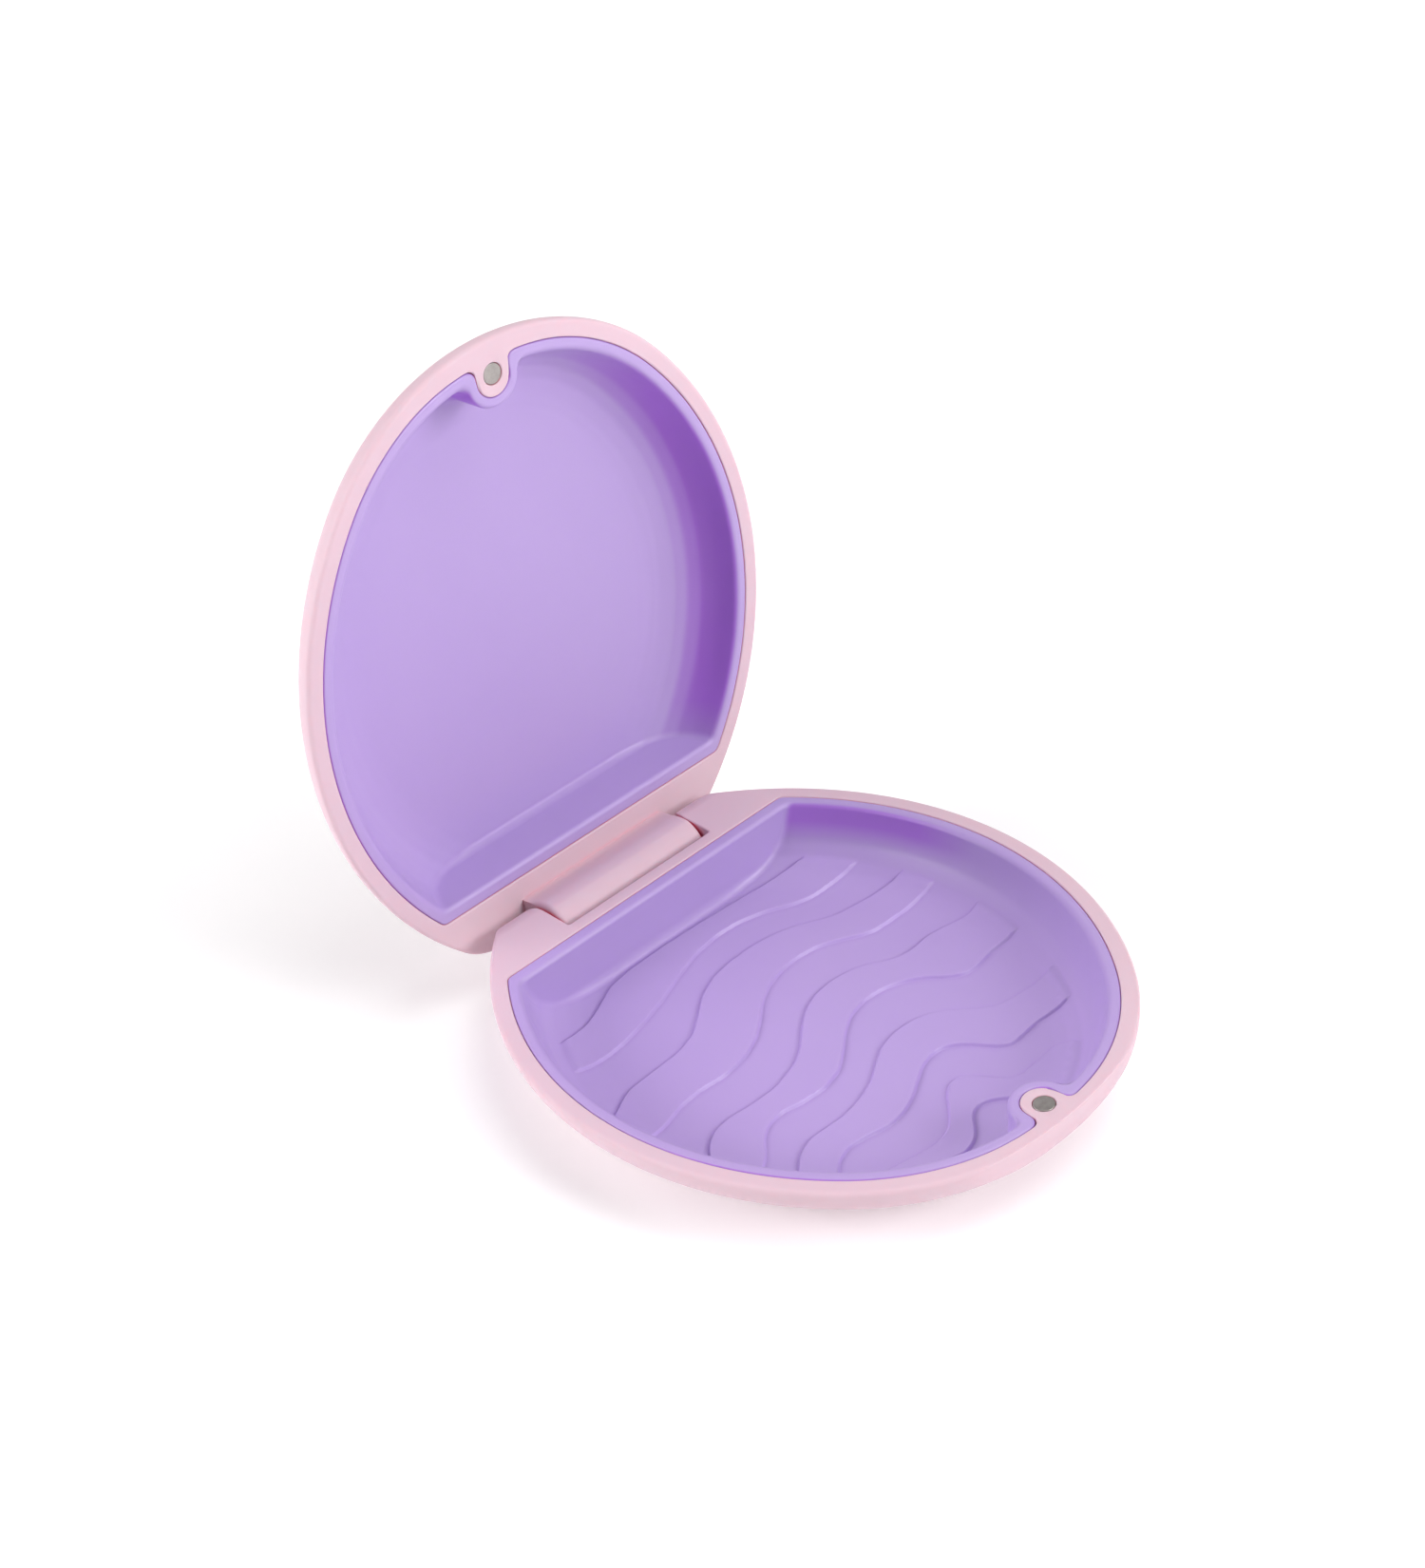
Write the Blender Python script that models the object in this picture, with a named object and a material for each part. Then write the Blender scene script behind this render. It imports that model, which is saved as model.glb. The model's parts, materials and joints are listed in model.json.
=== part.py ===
"""Hinged two-shell mouthguard case: rigid clam shells, soft liners, magnets and a hinge pin.

Units are metres. +Z is up, the opening side faces -Y and the hinge is at the +Y end.
The origin is the centre of the flat underside. The case stands open on its stop.

Each half is worked out in plan coordinates (x, f, d):
  x  across the case,
  f  forward from the hinge axis, towards -Y,
  d  depth from that half's rim face, into the half.
"""

import math

import bmesh
import bpy
from mathutils import Matrix

MM = 0.001

# --- plan outline of the liner: a front arc running into two flatter side arcs, cut by a rear chord
FRONT_ARC_R = 34.1
FRONT_ARC_F = 50.1        # centre of the front arc, forward of the hinge axis
SIDE_ARC_R = 50.84
ARC_BLEND = math.radians(50.4)   # where the front arc hands over to a side arc
CHORD_F = 8.08            # rear chord of the liner
PLAN_F = 42.2             # point that all sections are measured from

# --- heights
HALF_H = 12.4             # rim face to flat underside
RIM_GAP = 0.30            # between the two rims when closed
AXIS_DEPTH = 4.72         # hinge axis below the parting plane
OPEN_DEG = 92.56          # lid angle on its stop

# --- outer skin of a shell
RIM_OUT = 2.50            # shell outside the liner outline
EDGE_R = 0.55             # soft outer edge of the rim
SHOULDER_R = 4.60         # tight curve below the rim
SHOULDER_TURN = math.radians(55.0)
CONE_RUN = 6.5            # straight run from the shoulder before the underside flattens out
BASE_BACK_R = 4.45        # round back of the hinge ears, about the axis
BASE_BACK_TURN = math.radians(51.0)
BASE_FLAT_F = 7.4         # where the underside's flat begins at the rear
LID_BACK_F = -1.30        # rear edge of the lid's rim

# --- walls
SHELL_T = 1.05
FIT_GAP = 0.30            # liner to shell
LINER_T = 0.80
LINER_FLOOR_T = 1.30
LINER_RIM = 1.50          # width of the liner's rim band
FLOOR_D = 8.9             # cavity floor below the rim
CHORD_DRAFT = 0.45        # how far the rear wall leans in by its foot

# --- hinge
SLOT_HALF = 13.76
SLOT_F = 5.55             # front wall of the slot
SLOT_D = 7.05
TAB_HALF = 13.47
TAB_BARREL_R = 2.0
NOSE_F, NOSE_D, NOSE_R = 3.24, 4.29, 1.95
PIN_R, PIN_HALF = 0.75, 16.2
PIN_CLEAR = 0.08

# --- catch
MAGNET_F = 81.84
MAGNET_R, MAGNET_T = 1.50, 2.0
MAGNET_CLEAR = 0.15
BOSS_R = 2.90
BOSS_NECK = 2.3           # half width of the web that ties a boss to the rim
BOSS_FILLET = 1.3

# --- thumb scoop in the front of the base
SCOOP_HALF = 15.2
SCOOP_DEPTH = 5.7
SCOOP_LAND = 1.25         # rim left in front of the liner outline

# --- wavy grip ribs on the base liner's floor
RIB_H = 0.7
RIB_WIDTH = 6.6
RIB_MARGIN = 6.9          # rib ends to the liner outline
# each rib's line: f at the middle, lean per mm across, then its rearward bend: where, how deep, how wide
RIBS = (
    (18.9, -0.05, 3.0, 6.3, 15.0),
    (33.3, -0.09, 5.5, 8.4, 12.8),
    (46.6, -0.07, 6.8, 7.3, 10.2),
    (59.9, 0.07, 5.0, 6.3, 7.0),
    (72.0, 0.04, 2.6, 5.7, 4.5),
)

ARC_STEPS, CHORD_STEPS = 25, 4
HINGE_F_TO_ORIGIN = 38.05 # hinge axis to the centre of the flat underside
AXIS_Z = HALF_H + RIM_GAP / 2 - AXIS_DEPTH

for obj in list(bpy.data.objects):
    bpy.data.objects.remove(obj, do_unlink=True)

scene = bpy.context.scene
case = bpy.data.collections.new("mouthguard_case")
cutters = bpy.data.collections.new("cutters")
scene.collection.children.link(case)
scene.collection.children.link(cutters)


# ------------------------------------------------------------------ materials
def material(name, rgb, roughness, metallic=0.0):
    mat = bpy.data.materials.new(name)
    mat.use_nodes = True
    shader = mat.node_tree.nodes["Principled BSDF"]
    shader.inputs["Base Color"].default_value = (*rgb, 1.0)
    shader.inputs["Roughness"].default_value = roughness
    shader.inputs["Metallic"].default_value = metallic
    return mat


SHELL_PINK = (0.78, 0.47, 0.56)
LINER_LILAC = (0.44, 0.32, 0.68)
materials = {
    "base_shell": material("base_shell_plastic", SHELL_PINK, 0.42),
    "lid_shell": material("lid_shell_plastic", SHELL_PINK, 0.42),
    "base_liner": material("base_liner_silicone", LINER_LILAC, 0.5),
    "lid_liner": material("lid_liner_silicone", LINER_LILAC, 0.5),
    "base_magnet": material("base_magnet_nickel", (0.55, 0.53, 0.51), 0.3, 1.0),
    "lid_magnet": material("lid_magnet_nickel", (0.55, 0.53, 0.51), 0.3, 1.0),
    "hinge_pin": material("hinge_pin_steel", (0.6, 0.6, 0.62), 0.25, 1.0),
}


# ------------------------------------------------------------------ plan geometry
def ray_to_circle(psi, cx, cf, radius):
    """Distance from the plan centre to a circle's far side, along psi (0 is forward)."""
    dx, df = math.sin(psi), math.cos(psi)
    ox, of = -cx, PLAN_F - cf
    along = dx * ox + df * of
    return -along + math.sqrt(max(along * along - ox * ox - of * of + radius * radius, 0.0))


def oval(psi, grow):
    """Distance to the outline's arcs, moved outward by grow."""
    psi = abs(psi)
    spread = SIDE_ARC_R - FRONT_ARC_R
    front = ray_to_circle(psi, 0.0, FRONT_ARC_F, FRONT_ARC_R + grow)
    x, f = front * math.sin(psi), PLAN_F + front * math.cos(psi)
    if math.atan2(x, f - FRONT_ARC_F) <= ARC_BLEND:
        return front
    return ray_to_circle(
        psi,
        -spread * math.sin(ARC_BLEND),
        FRONT_ARC_F - spread * math.cos(ARC_BLEND),
        SIDE_ARC_R + grow,
    )


def chord(psi, f):
    """Distance to the straight line across the case at f, or far away where the ray misses it."""
    c = -math.cos(psi)
    return (PLAN_F - f) / c if c > 0.05 else 1e6


def smooth_min(a, b, k):
    if abs(a - b) >= k:
        return min(a, b)
    h = (k - abs(a - b)) / k
    return min(a, b) - h * h * k / 4


def corner_angle(grow, f):
    """The angle at which the side arc, grown, meets the chord at f."""
    low, high = math.radians(100), math.radians(175)
    for _ in range(50):
        mid = (low + high) / 2
        if oval(mid, grow) < chord(mid, f):
            low = mid
        else:
            high = mid
    return low


def angles(corner, soft=0.0):
    """Angles round one half of the plan, front to rear, with the corner among them."""
    half = [corner * i / ARC_STEPS for i in range(ARC_STEPS + 1)]
    if soft:
        half = [a for a in half if a < corner - soft * 1.3]
        half += [corner + soft * s for s in (-1.0, -0.6, -0.2, 0.2, 0.6, 1.0)]
    last = half[-1]
    half += [last + (math.pi - last) * i / CHORD_STEPS for i in range(1, CHORD_STEPS + 1)]
    return half


def whole(half):
    """The same angles carried on round the other side."""
    return half + [2 * math.pi - a for a in reversed(half[1:-1])]


def folded(psi):
    return psi if psi <= math.pi else 2 * math.pi - psi


# ------------------------------------------------------------------ profiles, as (grow, depth)
def outer_profile():
    """From the rim's flat, round its soft edge, down the shoulder and along the dish."""
    points = [(RIM_OUT - EDGE_R, 0.0)]
    for i in (1, 2, 3):
        a = math.radians(30 * i)
        points.append((RIM_OUT - EDGE_R * (1 - math.sin(a)), EDGE_R * (1 - math.cos(a))))
    for i in range(1, 4):
        a = SHOULDER_TURN * i / 3
        points.append((RIM_OUT - SHOULDER_R * (1 - math.cos(a)), EDGE_R + SHOULDER_R * math.sin(a)))
    grow, depth = points[-1]
    slope = 1 / math.tan(SHOULDER_TURN)
    for i in (1, 2):
        points.append((grow - CONE_RUN * i / 2, depth + CONE_RUN * slope * i / 2))
    grow, depth = points[-1]
    run = 2 * (HALF_H - depth) / slope
    for i in range(1, 4):
        s = i / 3
        points.append((grow - run * s, depth + (HALF_H - depth) * (2 * s - s * s)))
    return points


def inset_profile(thickness, wall_grow, floor_d):
    """The outer profile moved inward by thickness, from a wall at wall_grow down to the floor."""
    outer = outer_profile()[3:]
    moved = []
    for i, (grow, depth) in enumerate(outer):
        g0, d0 = outer[max(i - 1, 0)]
        g1, d1 = outer[min(i + 1, len(outer) - 1)]
        run = math.hypot(g1 - g0, d1 - d0)
        moved.append((grow - (d1 - d0) / run * thickness, depth - (g0 - g1) / run * thickness))
    points = [(wall_grow, 0.0)]
    for (g0, d0), (g1, d1) in zip(moved, moved[1:]):
        if g1 >= wall_grow:
            continue
        if g0 > wall_grow:
            foot = d0 + (d1 - d0) * (g0 - wall_grow) / (g0 - g1)
            points.append((wall_grow, foot * 0.55))
            points.append((wall_grow, foot))
        if d1 >= floor_d:
            share = (floor_d - d0) / (d1 - d0)
            points.append((g0 + (g1 - g0) * share - 0.4, floor_d - 0.12))
            points.append((points[-1][0] - 2.0, floor_d))
            break
        points.append((g1, d1))
    return points


# ------------------------------------------------------------------ mesh helpers
class Half:
    """Turns (x, f, d) into object coordinates, whose origin is on the hinge axis."""

    def __init__(self, name, up):
        self.name = name
        self.up = up
        self.rim = AXIS_DEPTH + up * RIM_GAP / 2

    def point(self, x, f, d):
        return (x * MM, -f * MM, (self.rim + self.up * d) * MM)


def finish(name, bm, collection, cutter):
    bmesh.ops.recalc_face_normals(bm, faces=bm.faces)
    mesh = bpy.data.meshes.new(name)
    bm.to_mesh(mesh)
    bm.free()
    obj = bpy.data.objects.new(name, mesh)
    collection.objects.link(obj)
    if cutter:
        obj.hide_render = True
        obj.display_type = "WIRE"
    return obj


def loft(name, rings, cutter=True):
    """A closed body through rings of equal length, capped at the first and last."""
    bm = bmesh.new()
    loops = [[bm.verts.new(p) for p in ring] for ring in rings]
    count = len(loops[0])
    for a, b in zip(loops, loops[1:]):
        for i in range(count):
            j = (i + 1) % count
            bm.faces.new((a[i], a[j], b[j], b[i]))
    bm.faces.new(loops[0])
    bm.faces.new(loops[-1])
    return finish(name, bm, cutters if cutter else case, cutter)


def prism(name, outline, low, high):
    """A straight body along X from a closed outline of (y, z) in object coordinates."""
    bm = bmesh.new()
    ends = [[bm.verts.new((x * MM, y, z)) for y, z in outline] for x in (low, high)]
    count = len(outline)
    for i in range(count):
        j = (i + 1) % count
        bm.faces.new((ends[0][i], ends[0][j], ends[1][j], ends[1][i]))
    bm.faces.new(ends[0])
    bm.faces.new(ends[1])
    return finish(name, bm, cutters, True)


def cylinder(name, centre, radius, length, axis="Z", segments=24, cutter=True):
    bm = bmesh.new()
    bmesh.ops.create_cone(
        bm, cap_ends=True, segments=segments, radius1=radius * MM, radius2=radius * MM, depth=length * MM
    )
    if axis == "X":
        bmesh.ops.rotate(bm, verts=bm.verts, matrix=Matrix.Rotation(math.pi / 2, 3, "Y"))
    bmesh.ops.translate(bm, verts=bm.verts, vec=centre)
    return finish(name, bm, cutters if cutter else case, cutter)


def box(name, low, high):
    bm = bmesh.new()
    bmesh.ops.create_cube(bm, size=1.0)
    size = [b - a for a, b in zip(low, high)]
    bmesh.ops.scale(bm, verts=bm.verts, vec=size)
    bmesh.ops.translate(bm, verts=bm.verts, vec=[(a + b) / 2 for a, b in zip(low, high)])
    return finish(name, bm, cutters, True)


def boolean(obj, tool, operation):
    mod = obj.modifiers.new(tool.name, "BOOLEAN")
    mod.operation = operation
    mod.object = tool
    mod.solver = "EXACT"


# ------------------------------------------------------------------ shell skin
def base_back(depth):
    """Where the base's rear face stands at a depth: round about the axis, then running to the flat."""
    turn_d = AXIS_DEPTH + BASE_BACK_R * math.sin(BASE_BACK_TURN)
    turn_f = -BASE_BACK_R * math.cos(BASE_BACK_TURN)
    if depth <= AXIS_DEPTH:
        return -BASE_BACK_R
    if depth <= turn_d:
        return -math.sqrt(BASE_BACK_R**2 - (depth - AXIS_DEPTH) ** 2)
    s = 1 - math.sqrt(max(1 - (depth - turn_d) / (HALF_H - turn_d), 0.0))
    return turn_f + (BASE_FLAT_F - turn_f) * s


def lid_back(grow):
    """The lid's rear face follows the same profile as its sides."""
    return LID_BACK_F + (RIM_OUT - EDGE_R - grow) * 0.55


def skin(half, back_of):
    """The shell's outer form, from the rim down to the flat."""
    corner = corner_angle(RIM_OUT, back_of(RIM_OUT, 0.0))
    round_psi = whole(angles(corner, math.radians(4.0)))
    rings = []
    for grow, depth in outer_profile():
        back = back_of(grow, depth)
        ring = []
        for psi in round_psi:
            a = folded(psi)
            radius = smooth_min(oval(a, grow), chord(a, back), 3.0)
            ring.append(half.point(radius * math.sin(psi), PLAN_F + radius * math.cos(psi), depth))
        rings.append(ring)
    return loft(half.name + "_shell", rings, cutter=False)


def dish(half, name, thickness, wall_grow, floor_d, lift=0.0, cutter=True):
    """A solid with the dished form of a pocket, a liner or a cavity, before the rear wall cuts it."""
    turns = 2 * ARC_STEPS + 8
    profile = inset_profile(thickness, wall_grow, floor_d)
    if lift:
        profile = [(wall_grow, -lift)] + profile
    rings = []
    for grow, depth in profile:
        ring = []
        for i in range(turns):
            psi = 2 * math.pi * (i + 0.5) / turns
            radius = oval(folded(psi), grow)
            ring.append(half.point(radius * math.sin(psi), PLAN_F + radius * math.cos(psi), depth))
        rings.append(ring)
    return loft(name, rings, cutter=cutter)


def rear_block(half, name, chord_f, draft):
    """What lies behind the rear wall, which leans forward by its draft at the cavity's floor."""
    outline = [(-30, -5), (chord_f, -5), (chord_f, 0), (chord_f + draft, FLOOR_D), (chord_f + draft, HALF_H + 5),
               (-30, HALF_H + 5)]
    return prism(name, [half.point(0, f, d)[1:] for f, d in outline], -50, 50)


def boss_outline(extra):
    """Plan outline of the magnet boss: a round nose on a web that flares into the rim."""
    radius = BOSS_R + extra
    points = []
    flare_f = MAGNET_F + 1.0
    for i in range(14):
        a = math.radians(200) * i / 13 - math.radians(10)
        points.append((radius * math.cos(a), MAGNET_F - radius * math.sin(a)))
    edge_f = FRONT_ARC_F + FRONT_ARC_R
    left = [(-(BOSS_NECK + extra + 0.2), flare_f), (-(BOSS_NECK + BOSS_FILLET + extra), edge_f - 0.9),
            (-(BOSS_NECK + 2.6 * BOSS_FILLET), edge_f + 0.6)]
    right = [(-x, f) for x, f in reversed(left)]
    return points + left + right


def boss(half, name, extra, top, bottom):
    outline = boss_outline(extra)
    rings = [[half.point(x, f, d) for x, f in outline] for d in (top, bottom)]
    return loft(name, rings)


def build_half(name, up, back_of):
    half = Half(name, up)
    shell = skin(half, back_of)

    pocket = dish(half, name + "_pocket", SHELL_T, FIT_GAP / 2, FLOOR_D + LINER_FLOOR_T + FIT_GAP, lift=2.0)
    boolean(pocket, rear_block(half, name + "_pocket_rear", CHORD_F - FIT_GAP / 2, 0.3), "DIFFERENCE")
    boolean(pocket, boss(half, name + "_boss", 0.0, -3.0, HALF_H), "DIFFERENCE")
    boolean(shell, pocket, "DIFFERENCE")

    liner = dish(half, name + "_liner", SHELL_T + FIT_GAP, -FIT_GAP / 2, FLOOR_D + LINER_FLOOR_T, cutter=False)
    boolean(liner, rear_block(half, name + "_liner_rear", CHORD_F + FIT_GAP / 2, 0.3), "DIFFERENCE")
    cavity = dish(half, name + "_cavity", SHELL_T + FIT_GAP + LINER_T, -LINER_RIM, FLOOR_D, lift=2.0)
    boolean(cavity, rear_block(half, name + "_cavity_rear", CHORD_F + LINER_RIM, CHORD_DRAFT), "DIFFERENCE")
    boolean(cavity, boss(half, name + "_boss_wrap", FIT_GAP + LINER_RIM, -3.0, HALF_H), "DIFFERENCE")
    boolean(liner, cavity, "DIFFERENCE")
    boolean(liner, boss(half, name + "_boss_room", FIT_GAP, -3.5, HALF_H + 3.0), "DIFFERENCE")

    seat_t = MAGNET_T + MAGNET_CLEAR
    seat = cylinder(name + "_magnet_seat", half.point(0, MAGNET_F, (seat_t - 2.0) / 2),
                    MAGNET_R + MAGNET_CLEAR, seat_t + 2.0)
    boolean(shell, seat, "DIFFERENCE")
    magnet = cylinder(name + "_magnet", half.point(0, MAGNET_F, MAGNET_T / 2), MAGNET_R, MAGNET_T, cutter=False)
    return half, shell, liner, magnet


# ------------------------------------------------------------------ base
base, base_shell, base_liner, base_magnet = build_half("base", -1, lambda grow, depth: base_back(depth))


def axis_circle(radius, start, stop, steps):
    """Points about the hinge axis, as (y, z) in object coordinates; 0 degrees is forward, 90 up."""
    points = []
    for i in range(steps + 1):
        a = math.radians(start + (stop - start) * i / steps)
        points.append((-radius * math.cos(a) * MM, radius * math.sin(a) * MM))
    return points


rim_z = base.rim * MM
back_round = axis_circle(BASE_BACK_R, 90, 180, 10)
back_round += [(9 * MM, 0.0), (9 * MM, rim_z + 3 * MM), (0.0, rim_z + 3 * MM)]
boolean(base_shell, prism("ear_round", back_round, -40, 40), "DIFFERENCE")

slot = box("hinge_slot",
           (-SLOT_HALF * MM, -SLOT_F * MM, (base.rim - SLOT_D) * MM),
           (SLOT_HALF * MM, 12 * MM, (base.rim + 4) * MM))
boolean(base_shell, slot, "DIFFERENCE")
base_bore = cylinder("base_pin_bore", (0, 0, 0), PIN_R + PIN_CLEAR, 2 * (PIN_HALF + 0.3), axis="X")
boolean(base_shell, base_bore, "DIFFERENCE")


def scoop():
    """A shallow hollow in the rim's outer edge, deepest in the middle and dying out at both ends."""
    rings = []
    steps = 16
    for i in range(steps + 1):
        t = -1.0 + 2.0 * i / steps
        x = SCOOP_HALF * t
        reach = 1 - t * t
        arc_f = FRONT_ARC_F + math.sqrt((FRONT_ARC_R + RIM_OUT) ** 2 - x * x)
        inner = arc_f - (RIM_OUT - SCOOP_LAND) * reach + 0.25 * (1 - reach)
        low = 0.4 + SCOOP_DEPTH * reach
        low_f = arc_f - 0.08 * low * low - 0.1 + 0.3 * (1 - reach)
        mid_f = (inner + low_f) / 2 - 0.35 * reach
        rings.append([
            base.point(x, inner - 0.1, -1.5),
            base.point(x, inner, 0.0),
            base.point(x, mid_f, low * 0.45),
            base.point(x, low_f, low),
            base.point(x, arc_f + 4, low + 0.5),
            base.point(x, arc_f + 4, -1.5),
        ])
    return loft("thumb_scoop", rings)


boolean(base_shell, scoop(), "DIFFERENCE")


CAVITY_PROFILE = inset_profile(SHELL_T + FIT_GAP + LINER_T, -LINER_RIM, FLOOR_D)


def floor_depth(x, f):
    """Depth of the base cavity's floor under a plan point, read from the profile that cuts it."""
    psi = abs(math.atan2(x, f - PLAN_F))
    reach = math.hypot(x, f - PLAN_F)
    samples = [(oval(psi, g), d) for g, d in CAVITY_PROFILE] + [(0.0, FLOOR_D)]
    for (r0, d0), (r1, d1) in zip(samples, samples[1:]):
        if r1 <= reach <= r0:
            return d0 + (d1 - d0) * (r0 - reach) / max(r0 - r1, 1e-9)
    return 0.0


def rib(index, line):
    """One wavy rib, from just inside one wall to just inside the other."""
    middle, lean, bend_x, bend, bend_width = line
    wall_f = CHORD_F + LINER_RIM - 0.5
    steps = 24

    def centre_f(x):
        return middle + lean * x - bend * math.exp(-((x - bend_x) / bend_width) ** 2)

    def fits(x):
        for off in (-RIB_WIDTH / 2, RIB_WIDTH / 2):
            f = centre_f(x) + off
            if math.hypot(x, f - PLAN_F) > oval(abs(math.atan2(x, f - PLAN_F)), -RIB_MARGIN):
                return False
            if math.hypot(x, f - MAGNET_F) < BOSS_R + LINER_RIM + FIT_GAP + 0.8:
                return False
        return True

    low = high = 0.0
    while fits(low - 0.25):
        low -= 0.25
    while fits(high + 0.25):
        high += 0.25
    rings = []
    for i in range(steps + 1):
        x = low + (high - low) * i / steps
        end = min(i, steps - i) / 2.0
        width = RIB_WIDTH / 2 * min(1.0, 0.55 + 0.45 * end)
        ring = []
        section = [(width * s, -0.55) for s in (1.0, 0.5, 0.0, -0.5, -1.0)]
        section += [(-width, RIB_H - 0.15), (-width + 0.35, RIB_H), (-width / 3, RIB_H),
                    (width / 3, RIB_H), (width - 0.35, RIB_H), (width, RIB_H - 0.15)]
        for off, lift in section:
            f = max(centre_f(x) + off, wall_f)
            ring.append(base.point(x, f, floor_depth(x, f) - lift))
        rings.append(ring)
    return loft("rib_%d" % index, rings)


for n, line in enumerate(RIBS):
    boolean(base_liner, rib(n, line), "UNION")

# ------------------------------------------------------------------ lid
lid, lid_shell, lid_liner, lid_magnet = build_half("lid", 1, lambda grow, depth: lid_back(grow))


def tab_outline():
    """Side outline of the lid's hinge tab, hanging from the rim round the pin; (f, depth below parting)."""
    points = [(LID_BACK_F + 0.55, -2.5), (LID_BACK_F + 0.45, 0.3), (-TAB_BARREL_R * 0.93, 3.2)]
    for i in range(9):
        a = math.radians(180 - 90 * i / 8)
        points.append((TAB_BARREL_R * math.cos(a), AXIS_DEPTH + TAB_BARREL_R * math.sin(a)))
    for i in range(11):
        a = math.radians(88 - 134 * i / 10)
        points.append((NOSE_F + NOSE_R * math.cos(a), NOSE_D + NOSE_R * math.sin(a)))
    points += [(4.30, 2.1), (4.20, 1.4), (4.24, 0.8), (4.45, 0.3), (4.95, -0.1), (5.6, -0.25), (5.6, -2.5)]
    return points


tab = prism("hinge_tab", [(-f * MM, (AXIS_DEPTH - d) * MM) for f, d in tab_outline()], -TAB_HALF, TAB_HALF)
boolean(lid_shell, tab, "UNION")
lid_bore = cylinder("lid_pin_bore", (0, 0, 0), PIN_R + PIN_CLEAR, 2 * (TAB_HALF + 3), axis="X")
boolean(lid_shell, lid_bore, "DIFFERENCE")

hinge_pin = cylinder("hinge_pin", (0, 0, 0), PIN_R, 2 * PIN_HALF, axis="X", cutter=False)


# ------------------------------------------------------------------ placing
def empty(name, location):
    obj = bpy.data.objects.new(name, None)
    obj.location = location
    case.objects.link(obj)
    return obj


axis_at = (0.0, HINGE_F_TO_ORIGIN * MM, AXIS_Z * MM)
base_frame = empty("base_frame", axis_at)
lid_frame = empty("lid_frame", axis_at)
lid_frame.rotation_euler = (-math.radians(OPEN_DEG), 0.0, 0.0)

lid_nodes = (lid_shell, lid_liner, lid_magnet)
for obj in list(case.objects) + list(cutters.objects):
    if obj.type != "MESH":
        continue
    on_lid = obj in lid_nodes or obj.name.startswith("lid_") or obj.name == "hinge_tab"
    obj.parent = lid_frame if on_lid else base_frame

for obj in case.objects:
    if obj.type == "MESH":
        obj.data.materials.append(materials[obj.name])
        obj.data.shade_smooth()
        obj.data.set_sharp_from_angle(angle=math.radians(32))
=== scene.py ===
"""Looks for the hinged mouthguard case: moulded shells, soft liners, catch magnets and hinge.

Shapes are worked out in millimetres in each half's plan coordinates and placed on the hinge axis:
  x across, f forward from the hinge axis, d depth below that half's rim.
"""

import json
import math

import bmesh
import bpy
import numpy as np
from mathutils import Matrix, Vector
from mathutils.geometry import delaunay_2d_cdt


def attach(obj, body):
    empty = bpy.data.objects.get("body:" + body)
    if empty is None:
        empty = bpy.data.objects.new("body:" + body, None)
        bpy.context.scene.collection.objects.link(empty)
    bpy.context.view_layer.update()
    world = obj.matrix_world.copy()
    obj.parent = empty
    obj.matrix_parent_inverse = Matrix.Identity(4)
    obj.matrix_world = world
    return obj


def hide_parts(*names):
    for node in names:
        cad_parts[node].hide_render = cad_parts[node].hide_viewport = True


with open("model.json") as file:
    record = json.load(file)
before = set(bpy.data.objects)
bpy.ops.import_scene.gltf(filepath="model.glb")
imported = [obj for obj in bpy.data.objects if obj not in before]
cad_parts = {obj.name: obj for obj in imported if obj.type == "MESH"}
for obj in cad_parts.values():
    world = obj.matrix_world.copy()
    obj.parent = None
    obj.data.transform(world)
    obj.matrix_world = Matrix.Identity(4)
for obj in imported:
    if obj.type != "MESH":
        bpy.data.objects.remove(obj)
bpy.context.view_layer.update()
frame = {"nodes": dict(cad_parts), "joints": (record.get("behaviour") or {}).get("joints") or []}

MM = 0.001
AXIS = Vector(frame["joints"][0]["pos_m"])
OPEN = math.radians(frame["joints"][0]["range_deg"][1])

# --- plan outline of a liner
FRONT_R, FRONT_F = 34.1, 50.1
SIDE_R = 50.84
BLEND = math.radians(50.4)
SPREAD = SIDE_R - FRONT_R
CHORD_F = 7.60
PLAN_F = 42.2
FRONT_FLAT, FRONT_FLAT_W = 0.50, 8.5   # the liners' front is a little flatter than the skin's

# --- heights
HALF_H, RIM_GAP, AXIS_DEPTH = 12.4, 0.30, 4.72

# --- outer skin
RIM_OUT, EDGE_R = 2.50, 0.62
SHOULDER_R, SHOULDER_TURN = 4.60, math.radians(55.0)
CONE_RUN = 6.5
BACK_R, BACK_TURN, FLAT_F = 4.45, math.radians(51.0), 7.4
LID_BACK_F = -1.30

# --- walls and seams
SEAM = 0.015              # half of the seam between a liner and its shell
SHELL_T, LINER_UNDER = 0.80, 0.93
RIM_W = 1.58              # liner rim band
WALL_F = 9.75             # rear wall of the hollow at the rim
FLOOR_D = 8.9
POCKET_D, UNDER_D = 10.5, 10.3

# --- catch
MAGNET_F, MAGNET_R = 81.70, 1.50
BOSS_F, BOSS_R = 81.25, 2.75

# --- hinge
HINGE_X = 0.48
SLOT_HALF, SLOT_F, SLOT_D = 13.88, 5.50, 7.50
TAB_HALF = 13.56
BARREL_R = 2.0
NOSE_TOP, NOSE_R = 5.17, 5.40
TAB_FOOT = 3.95
PIN_BORE = 0.83

# --- thumb scoop
SCOOP_HALF, SCOOP_DEPTH, SCOOP_LAND = 15.2, 5.7, 1.35

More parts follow.
